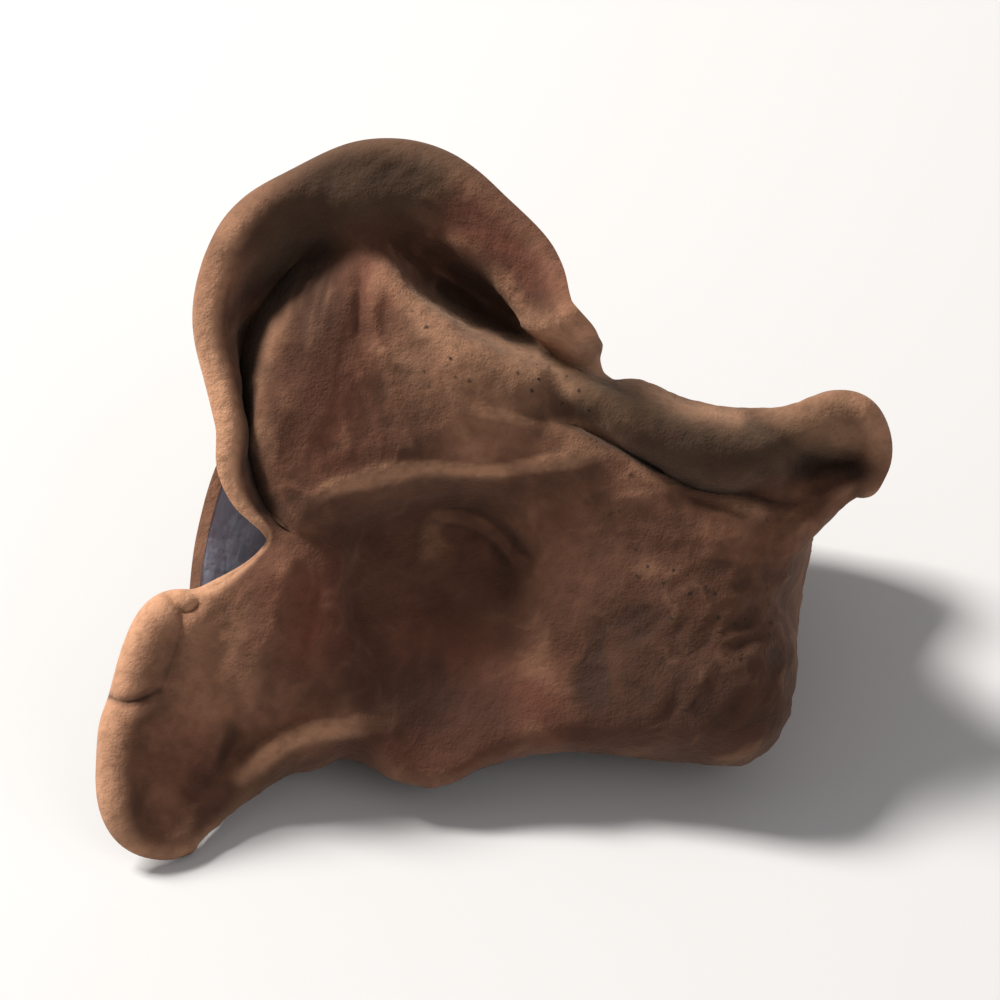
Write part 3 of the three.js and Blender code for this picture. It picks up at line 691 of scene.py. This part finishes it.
# %% Lay out the painted highlights, the painted shade and the painted light of the left corner
# Painted highlights on the lit edges, ridges and faces.
HIGHLIGHT_SPOTS = [
    ("lip of the hood", 0.9, 1.5, [(8.8, 14), (10.4, 12.8), (11.4, 11.6)]),
    ("top of the roll", 0.7, 1.0, [(12.5, 10.4), (15.5, 9.3), (20, 7.2), (24, 6.4)]),
    ("top of the small lobe", 0.4, 1.6, [(27, 7.4), (32, 6.4), (35, 5)]),
    ("rim of the upper face", 0.5, 0.8, [(-5.6, 18), (-1.5, 15.6), (3.5, 13), (8.5, 10.6)]),
    ("line of the arch", 0.5, 0.5, ARCH_LINE[1:5]),
    ("rim of the dish", 0.5, 0.6, [(8.2, 6.1), (11.5, 6.3), (13.6, 5.1), (16, 2.2), (19.4, 0.6),
                                   (26, -1.4)]),
    ("thin ridge at the foot", 0.4, 0.6, FOOT_RIDGE[:3]),
    ("finger", 0.3, 2.5, [(-27, -10), (-28.4, -14)]),
    ("face of the lobe", 0.4, 3, [(-22, -10), (-22.4, -17)]),
    ("upper face", 0.25, 4, [(-4, 12), (3, 8.4)]),
]
# Painted light, pale blue, that brightens the shaded smooth side at the left corner.
CORNER_LIGHT_SPOTS = [
    ("left corner", 1.0, 7.0, [(-22, 4), (-23, -4)]),
]
# Painted shade in the creases, under the edges and the roll, and on other shaded places.
SHADE_PLACES = [
    ("beside the strip", 1.0, 0.8, [(-11.6, 21.8), (-14.4, 18), (-16.6, 14), (-17.8, 10), (-18.2, 6),
                                    (-17.8, 2.4), (-16.6, -1)]),
    ("under the roll", 0.8, 0.7, [(15, 4), (21, 1.4), (25.2, -0.2), (28.4, -1)]),
    ("under the arch", 0.5, 1.6, [(-9, -3), (-6, -0.8), (-2, 0.2), (2, -0.4)]),
    ("foot", 0.6, 1.6, [(-20, -28), (-15, -24), (-8, -22.6)]),
    ("hollow of the small lobe", 1.0, 1.4, [(29, 2.2), (33, 2.6), (35, 1.8)]),
    ("top of the hood", 0.5, 3.4, [(-14, 24), (-10, 27.5), (-3, 28)]),
    ("top of the upper face", 0.55, 2.8, [(-12.6, 19), (-11.4, 14.6)]),
    ("lower dish", 0.75, 3.6, [(-5, -18), (3, -19)]),
    ("base", 0.4, 6.0, [(18, -14), (25, -17)]),
    ("lower side of the roll", 0.65, 1.6, [(16, 5.4), (22, 3.8), (26, 3)]),
    ("crack below the finger", 0.9, 0.35, FINGER_CRACK),
]
print("bright, shaded and bloomed places:", len(HIGHLIGHT_SPOTS), len(SHADE_PLACES), len(CORNER_LIGHT_SPOTS))

# %% [markdown]
# Every point of the flesh takes its marks from the nearest place of the sheet. How high it lies over the
# sheet, as a share of half the thickness, tells its side: 1 is the fuzzy side and -1 the smooth one. Hollows
# are found by pulling the sheet taut a few times more and seeing where it rises.

# %% Helpers for the marks
RELAXING_PASSES = 14
HOLLOW_DEPTH = 0.17


def sheet_normals(points):
    """Normals of the sheet on its fuzzy side, which faces the eye on the front."""
    across_rows, across_columns = np.gradient(points.reshape(side, side, 3), axis=(0, 1))
    normals = unit(np.cross(across_columns, across_rows)).reshape(-1, 3)
    return normals * np.sign(np.sum(front_share(points) * (normals @ TOWARD)))


def hollow_of(points):
    """1 where the fuzzy side lies in a sharp valley, -1 on a sharp ridge, 0 where it is even."""
    relaxed = pull_taut(points, RELAXING_PASSES)
    depth = np.sum((relaxed - points) * sheet_normals(points), axis=1)
    return np.clip(depth / HOLLOW_DEPTH, -1, 1)


def place_mask(places, points, within):
    """1 in the middle of the places and 0 far from them, within the share of the ear that is given."""
    across, up, _ = in_view(points)
    return np.clip(within * total_rise(places, across, up), 0, 1)


def points_of(mesh):
    values = np.zeros(len(mesh.vertices) * 3, np.float32)
    mesh.vertices.foreach_get("co", values)
    return values.reshape(-1, 3) / MM


def normals_of(mesh):
    values = np.zeros(len(mesh.vertices) * 3, np.float32)
    mesh.vertex_normals.foreach_get("vector", values)
    return values.reshape(-1, 3)


def nearest_in(places, points):
    """For every point, the number of the place that lies nearest to it."""
    tree = kdtree.KDTree(len(places))
    for index, place in enumerate(places):
        tree.insert(place, index)
    tree.balance()
    return np.array([tree.find(point)[1] for point in points])


def store(name, values):
    attribute = ear.data.attributes.new(name, "FLOAT", "POINT")
    attribute.data.foreach_set("value", np.asarray(values, np.float32))


print("points of the flesh:", len(ear.data.vertices))

# %% Tell the fuzzy side from the smooth side
SMOOTH_BELOW = -0.8
FUZZY_ABOVE = -0.4

flesh = points_of(ear.data)
nearest = nearest_in(sheet, flesh)
normals = sheet_normals(sheet)
side_share = 2 * np.sum((flesh - sheet[nearest]) * normals[nearest], axis=1) / thickness[nearest]
fuzzy_share = smooth_step(side_share, SMOOTH_BELOW, FUZZY_ABOVE)
face_is_smooth = [max(side_share[i] for i in face.vertices) < SMOOTH_BELOW for face in ear.data.polygons]
ear.data.polygons.foreach_set("material_index", np.array(face_is_smooth, np.int32))
print("smooth faces:", sum(face_is_smooth), "of", len(face_is_smooth))

# %% Mark the places on the flesh
FRONT_PLACES = {"deep": DEEP_PLACES, "olive": OLIVE_PLACES, "blush": BLUSH_PLACES, "specks": SPECK_PLACES,
                "light": HIGHLIGHT_SPOTS, "pale": BEAD_HIGHLIGHT_SPOTS, "shade": SHADE_PLACES}

front = front_share(sheet)
marks = {name: place_mask(places, sheet, front) for name, places in FRONT_PLACES.items()}
marks["corner_light"] = place_mask(CORNER_LIGHT_SPOTS, sheet, 1 - front)
marks["reach"] = reach
# The hollow mark paints shade into valleys and highlight onto ridges; deep places get no ridge highlight.
hollow = hollow_of(sheet)
marks["hollow"] = np.where(hollow < 0, (1 - marks["deep"]) * hollow, hollow)
for name, values in marks.items():
    store(name, values[nearest])
print("marks:", list(marks))

# %% [markdown]
# ## Wrinkles
# The fuzzy side shrinks unevenly: broad soft lumps, thin ridges that branch like veins, short creases across
# the rolled bead, and coarse slanting wrinkles where the ear was attached. Each is a small push along the
# surface's own normal, made from smooth noise whose grain is stretched the way the wrinkles run. The smooth
# side only ripples a little, and the push fades out at the rim, where both sides meet.

# %% Helpers for the wrinkles
VEIN_SHARPNESS = 4
VEIN_LEVEL = 0.5


def noise_of(places, seed):
    """Smooth noise from -1 to 1; each seed reads another stretch of it."""
    offset = Vector((seed, 2.7 * seed, 5.1 * seed))
    return np.array([noise.noise(Vector(place) + offset) for place in places])


def vein_share(places, seed):
    """Thin branching ridges: the noise is highest along the lines where it changes sign."""
    return (1 - np.abs(noise_of(places, seed))) ** VEIN_SHARPNESS


print("noise at the origin:", noise_of([(0, 0, 0)], seed=1).round(2))

# %% Wrinkle the bead, the base and the upper face
BEAD_CREASES = 150
BEAD_CREASE_DEPTH = 0.08
BEAD_CREASE_SHARPNESS = 3
BEAD_CREASE_BENDS = 3
BASE_GRAIN = 1.9
BASE_GRAIN_LENGTH = 4.0
BASE_RISE = 0.55
BASE_ROUGH_REACH = 11
PLEAT_MIDDLE = (-9.5, 25.0)
PLEATS = 5.0
PLEAT_LENGTH = 24
PLEAT_RISE = 0.3
PLEAT_LEVEL = 0.4
FAN_STARTS = 3
FAN_FULL = 8
FAN_FADES = 18
FAN_ENDS = 26


def bead_creases(reach, turn):
    """Short creases across the rolled bead, all the way round the ear."""
    angle = 2 * math.pi * turn
    circle = np.stack([np.cos(angle), np.sin(angle)], axis=1) * BEAD_CREASES / (2 * math.pi)
    creases = noise_of(np.column_stack([circle, BEAD_CREASE_BENDS * reach]), seed=4)
    return -BEAD_CREASE_DEPTH * (1 - np.abs(creases)) ** BEAD_CREASE_SHARPNESS


def base_wrinkles(points):
    """Coarse wrinkles that run up to the right over the base."""
    across, up, _ = in_view(points)
    along = (across + up) / math.sqrt(2) / BASE_GRAIN_LENGTH
    aside = (across - up) / math.sqrt(2) / BASE_GRAIN
    grain = np.column_stack([along, aside, points[:, 1] / BASE_GRAIN_LENGTH])
    rough = np.exp(-((np.linalg.norm(points - BASE_MIDDLE, axis=1) / BASE_ROUGH_REACH) ** 2))
    return BASE_RISE * rough * (vein_share(grain, seed=5) - VEIN_LEVEL)


def pleats(points):
    """Soft pleats that fan out over the upper face from a place under the crown."""
    across, up, _ = in_view(points)
    angle = np.arctan2(up - PLEAT_MIDDLE[1], across - PLEAT_MIDDLE[0])
    radius = np.hypot(up - PLEAT_MIDDLE[1], across - PLEAT_MIDDLE[0])
    rays = vein_share(np.column_stack([PLEATS * angle, radius / PLEAT_LENGTH, 0 * radius]), seed=7)
    fan = smooth_step(radius, FAN_STARTS, FAN_FULL) * (1 - smooth_step(radius, FAN_FADES, FAN_ENDS))
    return PLEAT_RISE * front_share(points) * fan * (rays - PLEAT_LEVEL)


print("creases round the bead:", BEAD_CREASES)

# %% Wrinkle the whole surface
LUMP_SIZE = 4.5
LUMP_RISE = 0.28
VEIN_SIZE = 2.6
VEIN_RISE = 0.16
CRINKLE_SIZE = 0.9
CRINKLE_RISE = 0.05
RIPPLE_SIZE = 6
RIPPLE_RISE = 0.15
BEAD_STARTS = 0.8
BEAD_FULL = 0.9
RIM_STARTS = 0.93
RIM_FULL = 0.98
RELIEF_FULL = 0.3


def fuzzy_relief(points, reach, turn):
    """How far each point of the fuzzy side stands out, in millimetres."""
    lumps = LUMP_RISE * noise_of(points / LUMP_SIZE, seed=1)
    veins = VEIN_RISE * (vein_share(points / VEIN_SIZE, seed=2) - VEIN_LEVEL)
    crinkles = CRINKLE_RISE * noise_of(points / CRINKLE_SIZE, seed=3)
    bead = smooth_step(reach, BEAD_STARTS, BEAD_FULL)
    inside = (1 - bead) * (veins + pleats(points))
    return lumps + inside + crinkles + bead * bead_creases(reach, turn) + base_wrinkles(points)


fuzzy = fuzzy_relief(flesh, reach[nearest], turn[nearest])
smooth = RIPPLE_RISE * noise_of(flesh / RIPPLE_SIZE, seed=6)
relief = fuzzy_share * fuzzy + (1 - fuzzy_share) * smooth
relief *= 1 - smooth_step(reach[nearest], RIM_STARTS, RIM_FULL)
# The colour also uses the relief: painted shade in the wrinkles and painted highlight on their crests.
store("relief", relief / RELIEF_FULL)
points = flesh + relief[:, None] * normals_of(ear.data)
print("relief in mm:", relief.min().round(2), "to", relief.max().round(2))

# %% [markdown]
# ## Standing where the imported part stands
# The ribs have their own origin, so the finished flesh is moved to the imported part. First the middles of the
# two boxes are brought together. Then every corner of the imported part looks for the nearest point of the
# flesh, and the flesh moves by the mean of the gaps, a few times over. What would sink into the ground is
# pressed flat, as the real ear's own weight did while it dried.

# %% Stand the ear on the ground
MATCHING_PASSES = 12

corners = part_points / MM
middle = (points.min(axis=0) + points.max(axis=0)) / 2
part_middle = np.array((CAD_LOW + CAD_HIGH) / 2) / MM
shift = part_middle - middle
for _ in range(MATCHING_PASSES):
    moved = points + shift
    gaps = corners - moved[nearest_in(moved, corners)]
    shift = shift + gaps.mean(axis=0)
points = points + shift
print("pressed flat at the ground in mm:", (CAD_LOW.z / MM - points[:, 2].min()).round(2))
points[:, 2] = np.maximum(points[:, 2], CAD_LOW.z / MM)
ear.data.vertices.foreach_set("co", (points * MM).astype(np.float32).ravel())
ear.data.update()
bpy.ops.object.shade_smooth()
print("shift in mm:", shift.round(2), "mean gap in mm:", np.linalg.norm(gaps, axis=1).mean().round(2))

# %% [markdown]
# ## The fuzzy side
# A wood ear's outer side is covered with very short pale hairs. They make it matt and dusty, so the finish
# has a high roughness and a soft sheen, and fine bumps stand for the hairs. Its brown is never even: it
# turns olive on the roll and reddish where the flesh is thin, and its bead is a little paler. Painted
# highlights pale the ridges and the lit parts of the margin, and painted shade darkens the hollows and the
# shaded places. There are dark specks on the upper face, the rim of the dish and the base.

# %% Helpers for colours and nodes
def from_srgb(red, green, blue):
    """A colour as a picture program shows it, from 0 to 255, as the numbers that the shader needs."""
    shares = [((value / 255 + 0.055) / 1.055) ** 2.4 for value in (red, green, blue)]
    return (*shares, 1.0)


def add_node(tree, kind, inputs=None, **settings):
    """A new node, with its sockets linked or set; a socket is named by its name or its number."""
    made = tree.nodes.new(kind)
    for name, value in settings.items():
        setattr(made, name, value)
    for socket, value in (inputs or {}).items():
        if isinstance(value, bpy.types.NodeSocket):
            tree.links.new(value, made.inputs[socket])
        else:
            made.inputs[socket].default_value = value
    return made


def attribute(tree, name):
    return add_node(tree, "ShaderNodeAttribute", attribute_name=name).outputs["Fac"]


def mix_colour(tree, share, first, second):
    """From the first colour to the second. The Mix node takes colours at 6 and 7 and gives one at 2."""
    mix = add_node(tree, "ShaderNodeMix", {0: share, 6: first, 7: second}, data_type="RGBA")
    return mix.outputs[2]


def ramp(tree, value, low, high, start=0.0, end=1.0):
    """A value that goes smoothly from start to end while the given value goes from low to high."""
    settings = {"Value": value, "From Min": low, "From Max": high, "To Min": start, "To Max": end}
    made = add_node(tree, "ShaderNodeMapRange", settings, interpolation_type="SMOOTHSTEP")
    return made.outputs["Result"]


def times(tree, first, second):
    return add_node(tree, "ShaderNodeMath", {0: first, 1: second}, operation="MULTIPLY").outputs[0]


print("mid grey as the shader sees it:", round(from_srgb(128, 128, 128)[0], 3))

# %% Helpers for patterns
def cloud(tree, place, grain, detail=3.0, roughness=0.55):
    """Soft noise whose clouds are about one grain across, in millimetres."""
    settings = {"Vector": place, "Scale": 1 / (grain * MM), "Detail": detail, "Roughness": roughness}
    return add_node(tree, "ShaderNodeTexNoise", settings).outputs["Fac"]


def bump(tree, height, depth, below=None):
    """Bumps as deep as given, in millimetres, on top of the bumps below."""
    settings = {"Height": height, "Distance": depth * MM, "Strength": 1.0}
    if below is not None:
        settings["Normal"] = below
    return add_node(tree, "ShaderNodeBump", settings).outputs["Normal"]


def new_finish(name):
    """A new material with its tree, its shader and the place on the piece that its patterns follow."""
    material = bpy.data.materials.new(name)
    material.use_nodes = True
    tree = material.node_tree
    place = add_node(tree, "ShaderNodeTexCoord").outputs["Object"]
    return material, tree, tree.nodes["Principled BSDF"], place


print("materials so far:", [one.name for one in bpy.data.materials])

# %% Choose the browns of the fuzzy side
BROWN = from_srgb(120, 80, 60)
DEEP_BROWN = from_srgb(73, 43, 29)
OLIVE = from_srgb(74, 57, 39)
BLUSH = from_srgb(108, 58, 44)
PALE_TAN = from_srgb(208, 156, 122)
SHADOW_BROWN = from_srgb(40, 23, 15)
SPECK = from_srgb(30, 22, 18)
# The olive and reddish tints are the flesh's own; the deep tint is partly its own darker brown, partly painted
# shade.
OWN_TINTS_AND_SHADE = [("deep", 0.85, DEEP_BROWN), ("olive", 0.75, OLIVE), ("blush", 0.7, BLUSH)]
# Painted highlights and painted shade.
PAINTED_LIGHT_AND_SHADE = [("light", 0.6, PALE_TAN), ("shade", 0.85, SHADOW_BROWN)]
# Painted shade in the hollows and wrinkles, painted highlight on the ridges and their crests.
FORM_TINTS = [
    ("hollow", 0.15, 1.0, 0.7, SHADOW_BROWN),
    ("hollow", -0.2, -1.0, 0.32, PALE_TAN),
    ("relief", -0.1, -1.2, 0.6, SHADOW_BROWN),
    ("relief", 0.1, 1.3, 0.24, PALE_TAN),
]


def lay_tints(tree, colour, tints):
    """Lays each tint where the flesh is marked for it, as strong as given; some are painted shade and
    highlight.
    """
    for name, strength, tint in tints:
        colour = mix_colour(tree, times(tree, attribute(tree, name), strength), colour, tint)
    return colour


def shade_forms(tree, colour):
    """Paints shade in hollows, highlights on ridges. Each tint starts at one value and is full at another."""
    for name, start, full, strength, tint in FORM_TINTS:
        share = ramp(tree, attribute(tree, name), start, full, end=strength)
        colour = mix_colour(tree, share, colour, tint)
    return colour


print("stains of the fuzzy side:", [name for name, *_ in OWN_TINTS_AND_SHADE + PAINTED_LIGHT_AND_SHADE])

# %% Speckle the fuzzy side and pale its bead, partly with painted highlight
SPECK_SPACING = 1.2
SPECK_RAGGEDNESS = 0.3
SPECK_CORE = 0.04
SPECK_EDGE = 0.11
NO_SPECK_BELOW = 0.2
SPECK_ABOVE = 0.35
BEAD_PALE_FROM = 0.84
BEAD_PALE_FULL = 0.93
LEAST_BEAD_PALENESS = 0.12
MOST_BEAD_HIGHLIGHT = 0.85


def speck_share(tree, place):
    """Small ragged dark specks, in most cells of a loose pattern, where the flesh is marked for them."""
    settings = {"Vector": place, "Scale": 1 / (SPECK_SPACING * MM), "Randomness": 1.0}
    cells = add_node(tree, "ShaderNodeTexVoronoi", settings)
    ragged = times(tree, cells.outputs["Distance"], cloud(tree, place, SPECK_RAGGEDNESS))
    dot = ramp(tree, ragged, SPECK_CORE, SPECK_EDGE, start=1.0, end=0.0)
    chance = add_node(tree, "ShaderNodeSeparateColor", {"Color": cells.outputs["Color"]}).outputs[0]
    dots = times(tree, dot, ramp(tree, chance, NO_SPECK_BELOW, SPECK_ABOVE))
    return times(tree, dots, attribute(tree, "specks"))


def bead_pale_and_highlight_share(tree):
    """The bead is a little paler all along, and much paler with painted highlight where it is marked as pale.
    """
    bead = ramp(tree, attribute(tree, "reach"), BEAD_PALE_FROM, BEAD_PALE_FULL)
    return times(tree, bead, ramp(tree, attribute(tree, "pale"), 0.0, 1.0, LEAST_BEAD_PALENESS, MOST_BEAD_HIGHLIGHT))


print("specks are", SPECK_SPACING, "mm apart")

# %% Make the fuzzy finish
PATCH_SIZE = 6.0
MOTTLE_SIZE = 0.9
MOTTLE_STRENGTH = 0.25
HAIR_SIZE = 0.22
HAIR_DEPTH = 0.08
GRAIN_SIZE = 0.9
GRAIN_DEPTH = 0.2


def fuzzy_colour(tree, place):
    """Brown patches, olive and red tints, painted shade and highlights on forms and bead, mottle and specks.
    """
    colour = mix_colour(tree, ramp(tree, cloud(tree, place, PATCH_SIZE), 0.3, 0.7), DEEP_BROWN, BROWN)
    colour = lay_tints(tree, colour, OWN_TINTS_AND_SHADE)
    colour = shade_forms(tree, colour)
    colour = mix_colour(tree, bead_pale_and_highlight_share(tree), colour, PALE_TAN)
    colour = lay_tints(tree, colour, PAINTED_LIGHT_AND_SHADE)
    mottle = ramp(tree, cloud(tree, place, MOTTLE_SIZE), 0.4, 0.7, end=MOTTLE_STRENGTH)
    colour = mix_colour(tree, mottle, colour, DEEP_BROWN)
    return mix_colour(tree, speck_share(tree, place), colour, SPECK)


def fuzzy_finish():
    material, tree, shader, place = new_finish("fuzzy_brown_skin")
    tree.links.new(fuzzy_colour(tree, place), shader.inputs["Base Color"])
    hairs = bump(tree, cloud(tree, place, HAIR_SIZE, detail=2.0), HAIR_DEPTH)
    grain = bump(tree, cloud(tree, place, GRAIN_SIZE, detail=4.0), GRAIN_DEPTH, below=hairs)
    tree.links.new(grain, shader.inputs["Normal"])
    shader.inputs["Roughness"].default_value = 0.85
    shader.inputs["Specular IOR Level"].default_value = 0.25
    shader.inputs["Sheen Weight"].default_value = 0.15
    shader.inputs["Sheen Roughness"].default_value = 0.55
    shader.inputs["Sheen Tint"].default_value = from_srgb(225, 205, 185)
    return material


ear.data.materials.append(fuzzy_finish())
print("fuzzy finish:", ear.data.materials[0].name)

# %% [markdown]
# ## The smooth side
# The inner side is where the spores grow. Dry, it is a tight dark purplish-brown skin with a soft gloss, so it
# mirrors the window, and its blue-grey haze is partly painted sheen. Painted light brightens it at the shaded
# left corner. Toward the thin margin it turns reddish, because light passes through the flesh there: the amber
# is painted glow, and a weak subsurface share adds a little real glow.

# %% Choose the colours of the smooth side
PLUM = from_srgb(64, 46, 44)
DARK_PLUM = from_srgb(42, 29, 29)
AMBER = from_srgb(92, 54, 40)
BLUE_GREY = from_srgb(98, 90, 94)
PALE_BLUE = from_srgb(214, 216, 238)
PLUM_PATCH_SIZE = 5.0
HAZE_SIZE = 12.0
LEAST_HAZE = 0.05
MOST_HAZE = 0.5
AMBER_FROM = 0.86
AMBER_FULL = 0.99
PALE_RIM_FROM = 0.985
MARGIN_TINT = 0.5


def smooth_colour(tree, place):
    """Plum patches under a blue-grey haze, partly painted sheen, painted corner light and glow, a pale rim."""
    colour = mix_colour(tree, ramp(tree, cloud(tree, place, PLUM_PATCH_SIZE), 0.35, 0.65), DARK_PLUM, PLUM)
    # The blue-grey haze is partly painted sheen.
    haze = ramp(tree, cloud(tree, place, HAZE_SIZE, detail=4.0), 0.4, 0.66, LEAST_HAZE, MOST_HAZE)
    colour = mix_colour(tree, haze, colour, BLUE_GREY)
    # Painted light that brightens the shaded left corner.
    colour = mix_colour(tree, attribute(tree, "corner_light"), colour, PALE_BLUE)
    reach = attribute(tree, "reach")
    # Painted amber glow near the thin margin, where light would pass through the flesh.
    colour = mix_colour(tree, ramp(tree, reach, AMBER_FROM, AMBER_FULL, end=MARGIN_TINT), colour, AMBER)
    return mix_colour(tree, ramp(tree, reach, PALE_RIM_FROM, 1.0, end=MARGIN_TINT), colour, PALE_TAN)


print("the haze covers", LEAST_HAZE, "to", MOST_HAZE, "of the plum")

# %% Make the smooth finish
GLOSS_PATCH_SIZE = 1.6
GLOSSIEST = 0.44
DULLEST = 0.58
WIDE_RIPPLE_SIZE = 3.6
WIDE_RIPPLE_DEPTH = 0.5
FINE_RIPPLE_SIZE = 0.8
FINE_RIPPLE_DEPTH = 0.035


def smooth_finish():
    material, tree, shader, place = new_finish("smooth_dark_skin")
    tree.links.new(smooth_colour(tree, place), shader.inputs["Base Color"])
    gloss = ramp(tree, cloud(tree, place, GLOSS_PATCH_SIZE), 0.3, 0.7, GLOSSIEST, DULLEST)
    tree.links.new(gloss, shader.inputs["Roughness"])
    wide = bump(tree, cloud(tree, place, WIDE_RIPPLE_SIZE), WIDE_RIPPLE_DEPTH)
    fine = bump(tree, cloud(tree, place, FINE_RIPPLE_SIZE), FINE_RIPPLE_DEPTH, below=wide)
    tree.links.new(fine, shader.inputs["Normal"])
    shader.inputs["Specular IOR Level"].default_value = 0.5
    shader.inputs["Subsurface Weight"].default_value = 0.15
    shader.inputs["Subsurface Radius"].default_value = (1.6 * MM, 0.5 * MM, 0.25 * MM)
    shader.inputs["Subsurface Scale"].default_value = 1.0
    return material


ear.data.materials.append(smooth_finish())
print("smooth finish:", ear.data.materials[1].name)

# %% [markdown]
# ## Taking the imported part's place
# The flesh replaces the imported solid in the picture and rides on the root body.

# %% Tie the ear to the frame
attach(ear, "root")
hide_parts("wood_ear")
